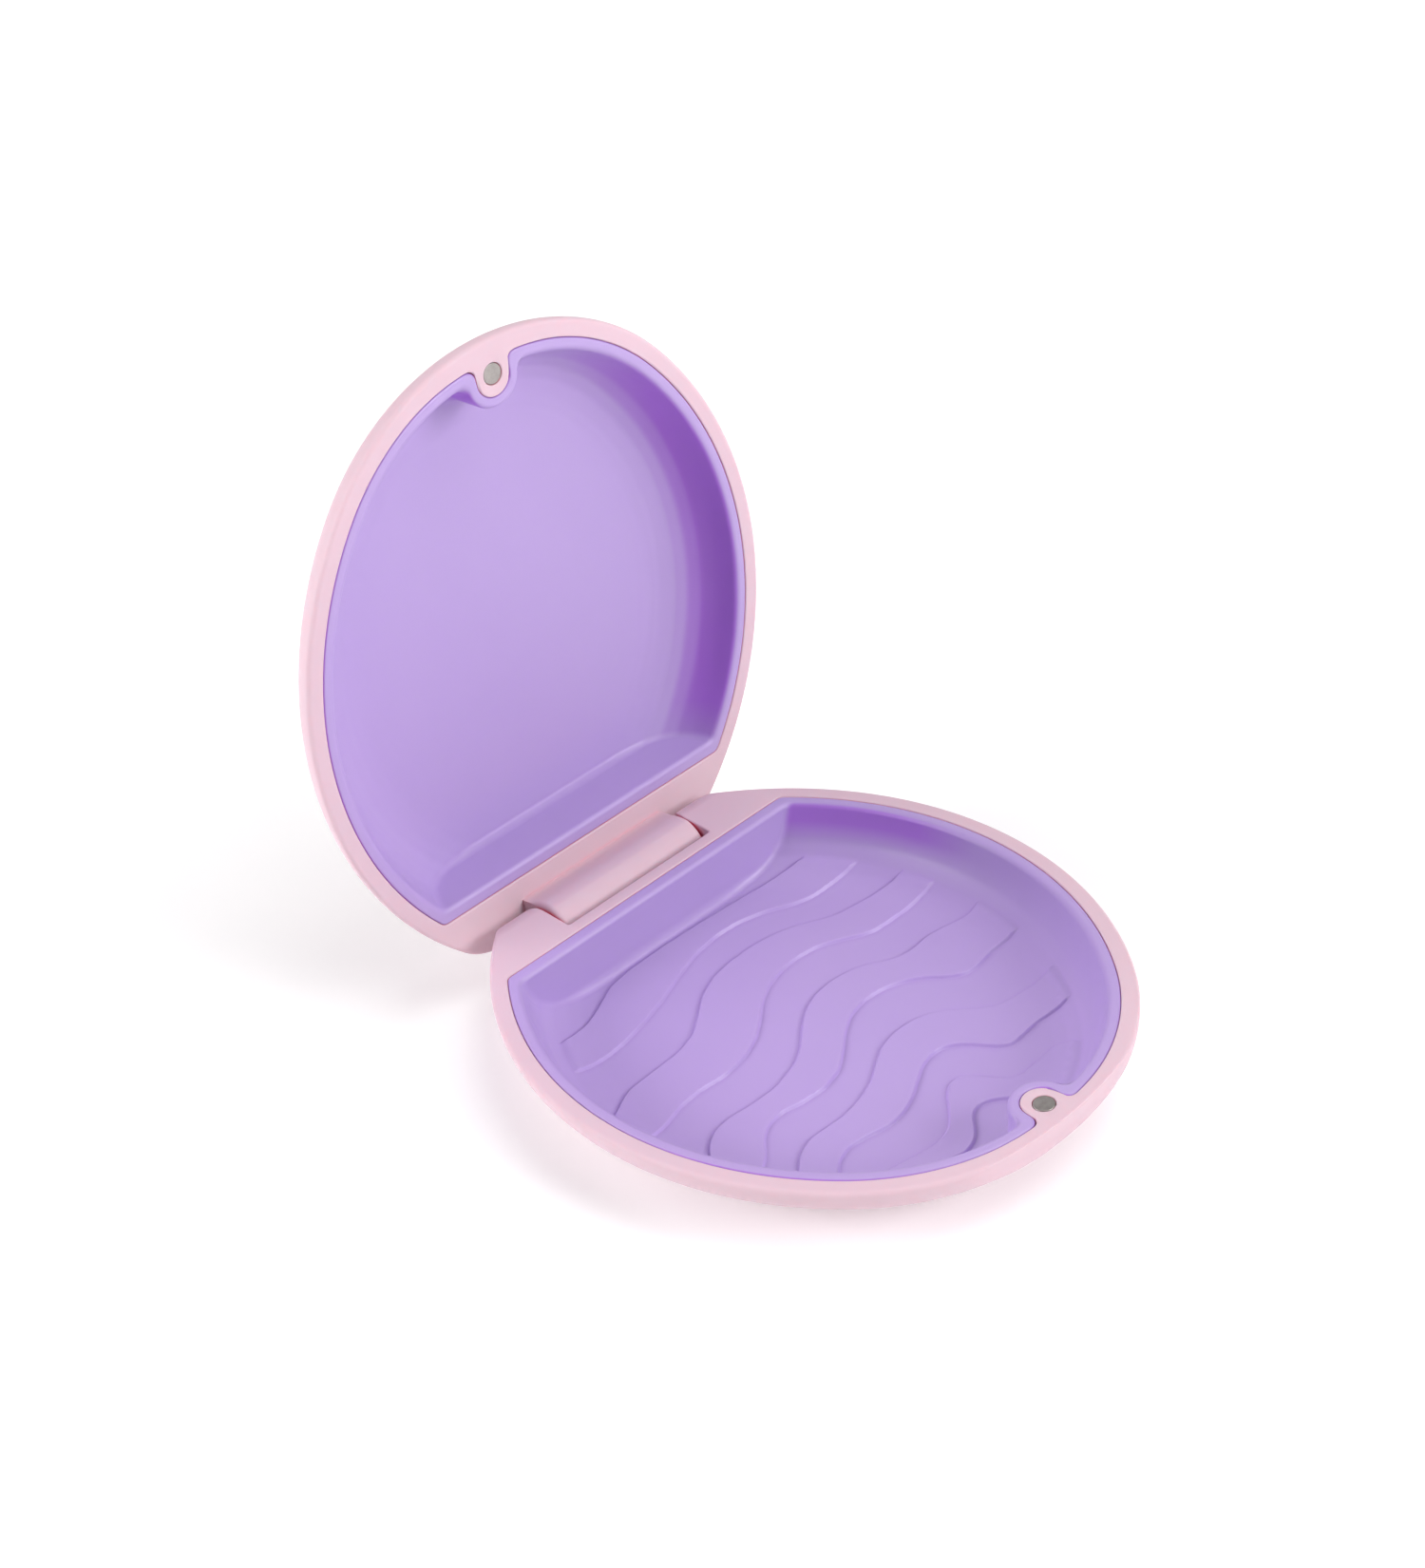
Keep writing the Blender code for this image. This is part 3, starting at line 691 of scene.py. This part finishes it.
def tab_outline():
    """(f, depth below the parting plane): the barrel about the pin, the nose, and the hollow back to the lid's rim."""
    points = [(LID_BACK_F + 0.55, -2.5), (LID_BACK_F + 0.45, 0.3), (-BARREL_R * 0.93, 3.2)]
    for a in np.radians(np.linspace(170, 100, 14)):
        points.append((BARREL_R * math.cos(a), AXIS_DEPTH + BARREL_R * math.sin(a)))
    points += [(0.4, AXIS_DEPTH + 2.02), (1.0, AXIS_DEPTH + 2.3), (1.5, AXIS_DEPTH + 2.62), (1.62, AXIS_DEPTH + 3.0), (1.66, AXIS_DEPTH + 4.9)]
    low_a, high_a = 70.0, math.degrees(math.acos(NOSE_TOP / NOSE_R))
    for a in np.radians(np.linspace(low_a, high_a + 1.5, 20)):
        points.append((NOSE_R * math.cos(a), AXIS_DEPTH + NOSE_R * math.sin(a)))
    points.append((NOSE_TOP - 0.005, AXIS_DEPTH + 1.25))
    points.append((NOSE_TOP, AXIS_DEPTH + 0.95))
    top = AXIS_DEPTH + 0.85
    low = -0.02
    for i in range(1, 26):
        s = i / 26
        ease = s * s * (3 - 2 * s)
        points.append((NOSE_TOP - (NOSE_TOP - TAB_FOOT) * ease, top + (low - top) * (s ** 0.9)))
    for a in np.linspace(0, math.pi / 2, 6)[1:]:
        points.append((TAB_FOOT + 0.22 * (1 - math.cos(a)), low - 0.12 - 0.2 * math.sin(a) + 0.1))
    points.append((TAB_FOOT + 0.25, -2.5))
    return points


def lid_depth(points):
    """(f, depth below the parting plane) to the lid's own depth above its rim."""
    return [(f, -d - RIM_GAP / 2) for f, d in points]


# ------------------------------------------------------------------ build
WALL = [(1.69, 0.0), (2.6, 3.2), (3.7, 5.45), (5.3, 6.95), (7.3, 7.98), (9.3, 8.55), (11.3, 8.84), (13.2, 8.9), (46.0, 8.9)]
base_curve = Curve(WALL, 0.5)
lid_curve = Curve(WALL, 0.5)

ribs = tuple(
    (Curve([(x - 0.3, f + 0.3) for x, f in rear], 1.5, 2, 0.05), Curve(front, 1.5, 2, 0.05)) for rear, front in RIBS
)
base_liner = Liner(BASE, base_curve, ribs).build("base_liner_soft")
lid_liner = Liner(LID, lid_curve).build("lid_liner_soft")

seat = [(MAGNET_R + 0.28, -1.0), (MAGNET_R + 0.20, -0.002), (MAGNET_R + 0.12, 0.03), (MAGNET_R + 0.07, 0.09), (MAGNET_R + 0.05, 0.2), (MAGNET_R + 0.05, 2.1)]

base_case = shell(BASE, lambda g, d: base_back(d), True)
combine(base_case, [
    ear_cutter(), slot_cutter(), nose_pocket(),
    turned("bore", BASE, AXIS_DEPTH - RIM_GAP / 2, 0.0, [(PIN_BORE, -16.5), (PIN_BORE, 16.5)], "x", 48),
    turned("seat", BASE, 0.0, MAGNET_F, seat),
], "DIFFERENCE")
finish_shading(base_case)

lid_case = shell(LID, lambda g, d: lid_back(g), False)
tab_points = tab_outline()
tab_share = [float(step((f - 0.9) / 1.5) * step((d - 1.0) / 2.6)) for f, d in tab_points]
tab = prism("tab", LID, lid_depth(tab_points), HINGE_X - TAB_HALF, HINGE_X + TAB_HALF, 0.8, tab_share)
combine(lid_case, [tab], "UNION")
combine(lid_case, [
    turned("bore", LID, -(AXIS_DEPTH + RIM_GAP / 2), 0.0, [(PIN_BORE, -17), (PIN_BORE, 17)], "x", 48),
    turned("seat", LID, 0.0, MAGNET_F, seat),
], "DIFFERENCE")
finish_shading(lid_case)


def magnet(half, sink):
    r, c = MAGNET_R - 0.02, 0.10
    profile = [(0.4, sink), (0.9, sink), (r - c - 0.12, sink), (r - c, sink + 0.005)]
    for i in range(1, 6):
        a = math.pi / 2 * i / 5
        profile.append((r - c + c * math.sin(a), sink + c * (1 - math.cos(a))))
    profile += [(r, sink + 0.6), (r, 1.95), (r - 0.3, 2.0)]
    obj = turned(half.name + "_catch_magnet", half, 0.0, MAGNET_F, profile)
    obj.data.shade_smooth()
    obj.data.set_sharp_from_angle(angle=math.radians(40))
    return obj


base_magnet = magnet(BASE, 0.02)
lid_magnet = magnet(LID, 0.14)


# ------------------------------------------------------------------ materials
def nodes_for(name):
    mat = bpy.data.materials.new(name)
    mat.use_nodes = True
    tree = mat.node_tree
    return mat, tree, tree.nodes["Principled BSDF"]


def mix_colour(tree, factor, a, b):
    mix = tree.nodes.new("ShaderNodeMix")
    mix.data_type = "RGBA"
    mix.inputs["A"].default_value = (*a, 1.0)
    mix.inputs["B"].default_value = (*b, 1.0)
    tree.links.new(factor, mix.inputs["Factor"])
    return mix.outputs["Result"]


def noise(tree, scale, detail=3.0, rough=0.5):
    coords = tree.nodes.new("ShaderNodeTexCoord")
    tex = tree.nodes.new("ShaderNodeTexNoise")
    tex.inputs["Scale"].default_value = scale
    tex.inputs["Detail"].default_value = detail
    tex.inputs["Roughness"].default_value = rough
    tree.links.new(coords.outputs["Object"], tex.inputs["Vector"])
    return tex.outputs["Fac"]


def ramp(tree, value, low, high, a=0.3, b=0.7):
    node = tree.nodes.new("ShaderNodeMapRange")
    node.inputs["From Min"].default_value = a
    node.inputs["From Max"].default_value = b
    node.inputs["To Min"].default_value = low
    node.inputs["To Max"].default_value = high
    tree.links.new(value, node.inputs["Value"])
    return node.outputs["Result"]


def bump(tree, height, strength, distance):
    node = tree.nodes.new("ShaderNodeBump")
    node.inputs["Strength"].default_value = strength
    node.inputs["Distance"].default_value = distance
    tree.links.new(height, node.inputs["Height"])
    return node.outputs["Normal"]


def paint_wall_shade(tree, colour, painted_shade_colour):
    """Painted shade: a deeper colour on the lid's steep right wall and on the base's far wall below its rim, set by the
    surface's facing and height.
    """
    place = tree.nodes.new("ShaderNodeNewGeometry")

    def axis(socket, i):
        split = tree.nodes.new("ShaderNodeSeparateXYZ")
        tree.links.new(socket, split.inputs[0])
        return split.outputs[i]

    def maths(kind, a, b):
        node = tree.nodes.new("ShaderNodeMath")
        node.operation = kind
        for socket, value in zip(node.inputs, (a, b)):
            if isinstance(value, float):
                socket.default_value = value
            else:
                tree.links.new(value, socket)
        return node.outputs[0]

    left = maths("MULTIPLY", axis(place.outputs["Normal"], 0), -1.0)
    front = maths("MULTIPLY", axis(place.outputs["Normal"], 1), -1.0)
    height = axis(place.outputs["Position"], 2)
    steep = ramp(tree, left, 0.0, 1.0, 0.38, 0.80)
    high = ramp(tree, height, 0.0, 1.0, 0.014, 0.022)
    lid = maths("MULTIPLY", steep, high)
    band = maths("MULTIPLY", ramp(tree, height, 0.0, 0.85, 0.0072, 0.0098), ramp(tree, height, 1.0, 0.0, 0.0130, 0.0150))
    far = maths("MULTIPLY", ramp(tree, front, 0.0, 1.0, 0.03, 0.22), ramp(tree, left, 0.0, 1.0, 0.30, 0.65))
    base = maths("MULTIPLY", far, band)
    blend = tree.nodes.new("ShaderNodeMix")
    blend.data_type = "RGBA"
    blend.inputs["B"].default_value = (*painted_shade_colour, 1.0)
    tree.links.new(maths("ADD", lid, base), blend.inputs["Factor"])
    tree.links.new(colour, blend.inputs["A"])
    return blend.outputs["Result"]


def moulded(name, light, deep, painted_crease_shade, roughness, grain, subsurface, radius, specular=0.5, wall=None):
    """Moulded plastic or silicone: cloudy pigment, painted shade as a deeper colour in its gaps and creases and, if
    given, on its steep walls, a fine grain and slight translucence.
    """
    mat, tree, shader = nodes_for(name)
    cloud = noise(tree, 38.0, 4.0, 0.55)
    colour = mix_colour(tree, ramp(tree, cloud, 0.0, 1.0), light, deep)
    # painted shade: each entry mixes a deeper colour in where ambient occlusion finds a gap or crease
    for painted_shade_colour, reach, low, high in painted_crease_shade:
        hollow = tree.nodes.new("ShaderNodeAmbientOcclusion")
        hollow.samples = 8
        hollow.inputs["Distance"].default_value = reach
        blend = tree.nodes.new("ShaderNodeMix")
        blend.data_type = "RGBA"
        blend.inputs["B"].default_value = (*painted_shade_colour, 1.0)
        tree.links.new(ramp(tree, hollow.outputs["AO"], 1.0, 0.0, low, high), blend.inputs["Factor"])
        tree.links.new(colour, blend.inputs["A"])
        colour = blend.outputs["Result"]
    # painted shade on the steep walls that face away from the light
    if wall:
        colour = paint_wall_shade(tree, colour, wall)
    tree.links.new(colour, shader.inputs["Base Color"])
    fine = noise(tree, 2600.0, 2.0, 0.6)
    mid = noise(tree, 420.0, 3.0, 0.5)
    tree.links.new(ramp(tree, mid, roughness - 0.035, roughness + 0.035), shader.inputs["Roughness"])
    shader.inputs["Specular IOR Level"].default_value = specular
    shader.inputs["Subsurface Weight"].default_value = subsurface
    shader.inputs["Subsurface Radius"].default_value = radius
    shader.inputs["Subsurface Scale"].default_value = 0.001
    tree.links.new(bump(tree, fine, grain, 0.00002), shader.inputs["Normal"])
    return mat


# pink shell: painted shade, a deep red, in its narrow gaps
shell_mat = moulded("moulded_pink_plastic", (0.682, 0.495, 0.565), (0.667, 0.48, 0.55),
                    [((0.85, 0.16, 0.24), 0.0014, 0.12, 0.60)], 0.54, 0.22, 0.30, (1.0, 0.4, 0.42), 0.28)
# lilac liner: painted shade as dark lines at the feet of the ribs' edges, and painted deeper shade on the lid's right
# wall and the base's far wall
liner_mat = moulded("lilac_silicone", (0.442, 0.32, 0.622), (0.427, 0.31, 0.612),
                    [((0.29, 0.15, 0.53), 0.0009, 0.42, 0.95)], 0.40, 0.2, 0.12, (0.7, 0.5, 1.0), wall=(0.40, 0.165, 0.66))


def nickel(name):
    mat, tree, shader = nodes_for(name)
    grain = noise(tree, 900.0, 5.0, 0.7)
    tree.links.new(mix_colour(tree, ramp(tree, grain, 0.0, 1.0), (0.30, 0.275, 0.265), (0.42, 0.39, 0.375)), shader.inputs["Base Color"])
    shader.inputs["Metallic"].default_value = 0.85
    tree.links.new(ramp(tree, grain, 0.34, 0.5), shader.inputs["Roughness"])
    tree.links.new(bump(tree, grain, 0.35, 0.00003), shader.inputs["Normal"])
    return mat


def steel(name):
    mat, tree, shader = nodes_for(name)
    grain = noise(tree, 700.0, 4.0, 0.6)
    tree.links.new(mix_colour(tree, ramp(tree, grain, 0.0, 1.0), (0.5, 0.5, 0.51), (0.62, 0.62, 0.63)), shader.inputs["Base Color"])
    shader.inputs["Metallic"].default_value = 1.0
    tree.links.new(ramp(tree, grain, 0.2, 0.34), shader.inputs["Roughness"])
    return mat


nickel_mat = nickel("nickel_plate")


def dress(obj, mat, body, node):
    obj.data.materials.clear()
    obj.data.materials.append(mat)
    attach(obj, body)
    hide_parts(node)


dress(base_case, shell_mat, "base", "base_shell")
dress(lid_case, shell_mat, "lid", "lid_shell")
dress(base_liner, liner_mat, "base", "base_liner")
dress(lid_liner, liner_mat, "lid", "lid_liner")
dress(base_magnet, nickel_mat, "base", "base_magnet")
dress(lid_magnet, nickel_mat, "lid", "lid_magnet")
pin = frame["nodes"]["hinge_pin"]
pin.data.materials.clear()
pin.data.materials.append(steel("drawn_steel"))
pin.data.shade_smooth()
pin.data.set_sharp_from_angle(angle=math.radians(40))

# ------------------------------------------------------------------ stage, light and camera
SURROUND = 1.0
# azimuth (0 is the front, 90 the case's right), elevation, size, strength
SOFTBOXES = (
    (0, 14, 0.42, 0.061), (90, 14, 0.42, 0.027), (135, 14, 0.42, 0.051), (225, 14, 0.42, 0.216),
    (20, 28, 0.5, 0.521), (250, 28, 0.5, 0.333), (135, 38, 0.6, 0.018), (225, 38, 0.6, 0.210),
    (70, 50, 0.6, 0.019), (36, 65, 0.65, 0.309), (108, 65, 0.65, 0.109),
)
floor_bm = bmesh.new()
bmesh.ops.create_grid(floor_bm, x_segments=8, y_segments=8, size=4.0)
floor_mesh = bpy.data.meshes.new("studio_floor")
floor_bm.to_mesh(floor_mesh)
floor_bm.free()
floor = bpy.data.objects.new("studio_floor", floor_mesh)
bpy.context.scene.collection.objects.link(floor)
floor_mat, floor_tree, floor_shader = nodes_for("pale_paper")
floor_tree.links.new(
    mix_colour(floor_tree, ramp(floor_tree, noise(floor_tree, 60.0), 0.0, 1.0), (0.94, 0.94, 0.94), (0.925, 0.925, 0.93)),
    floor_shader.inputs["Base Color"])
floor_shader.inputs["Roughness"].default_value = 0.9
floor_shader.inputs["Specular IOR Level"].default_value = 0.1
floor_shader.inputs["Emission Color"].default_value = (1.0, 1.0, 1.0, 1.0)
far = floor_tree.nodes.new("ShaderNodeVectorMath")
far.operation = "LENGTH"
spot = floor_tree.nodes.new("ShaderNodeNewGeometry")
floor_tree.links.new(spot.outputs["Position"], far.inputs[0])
floor_tree.links.new(ramp(floor_tree, far.outputs["Value"], 0.14, 1.0, 0.28, 0.75), floor_shader.inputs["Emission Strength"])
floor.data.materials.append(floor_mat)

world = bpy.data.worlds.new("studio")
bpy.context.scene.world = world
world.use_nodes = True
world.node_tree.nodes["Background"].inputs["Color"].default_value = (1.0, 1.0, 1.0, 1.0)
world.node_tree.nodes["Background"].inputs["Strength"].default_value = SURROUND
for ray in ("diffuse", "glossy", "transmission", "scatter"):
    setattr(world.cycles_visibility, ray, False)   # a white surround that lights nothing: the softboxes do that


def softbox(azimuth, elevation, size, strength):
    """A round soft light a metre from the case; strength is the white level it gives a facing surface."""
    data = bpy.data.lights.new("softbox", "AREA")
    data.shape = "DISK"
    data.size = size
    data.energy = 4 * math.pi * strength
    obj = bpy.data.objects.new("softbox", data)
    a, e = math.radians(azimuth), math.radians(elevation)
    aim = Vector((0, 0, 0.03))
    obj.location = aim + Vector((math.sin(a) * math.cos(e), -math.cos(a) * math.cos(e), math.sin(e)))
    obj.rotation_euler = (aim - obj.location).to_track_quat("-Z", "Y").to_euler()
    bpy.context.scene.collection.objects.link(obj)


for box in SOFTBOXES:
    softbox(*box)

camera = bpy.data.objects.new("camera", bpy.data.cameras.new("camera"))
bpy.context.scene.collection.objects.link(camera)
az, el, roll = (math.radians(v) for v in (-39.65, 35.01, -7.68))
back = Vector((math.sin(az) * math.cos(el), -math.cos(az) * math.cos(el), math.sin(el)))
right = Vector((math.cos(az), math.sin(az), 0.0))
up = back.cross(right)
right, up = math.cos(roll) * right + math.sin(roll) * up, math.cos(roll) * up - math.sin(roll) * right
target = Vector((-0.010168, AXIS.y - 0.0372, (12.4 + 36.307) * MM))
place = Matrix.Identity(4)
for row in range(3):
    place[row][0], place[row][1], place[row][2] = right[row], up[row], back[row]
    place[row][3] = target[row] + back[row] * 0.3687
camera.matrix_world = place
camera.data.sensor_fit = "VERTICAL"
camera.data.sensor_height = 36.0
camera.data.lens = 66.477
camera.data.clip_start = 0.01
camera.data.clip_end = 20.0
camera.data.dof.use_dof = False
bpy.context.scene.camera = camera
bpy.context.scene.view_settings.view_transform = "Standard"
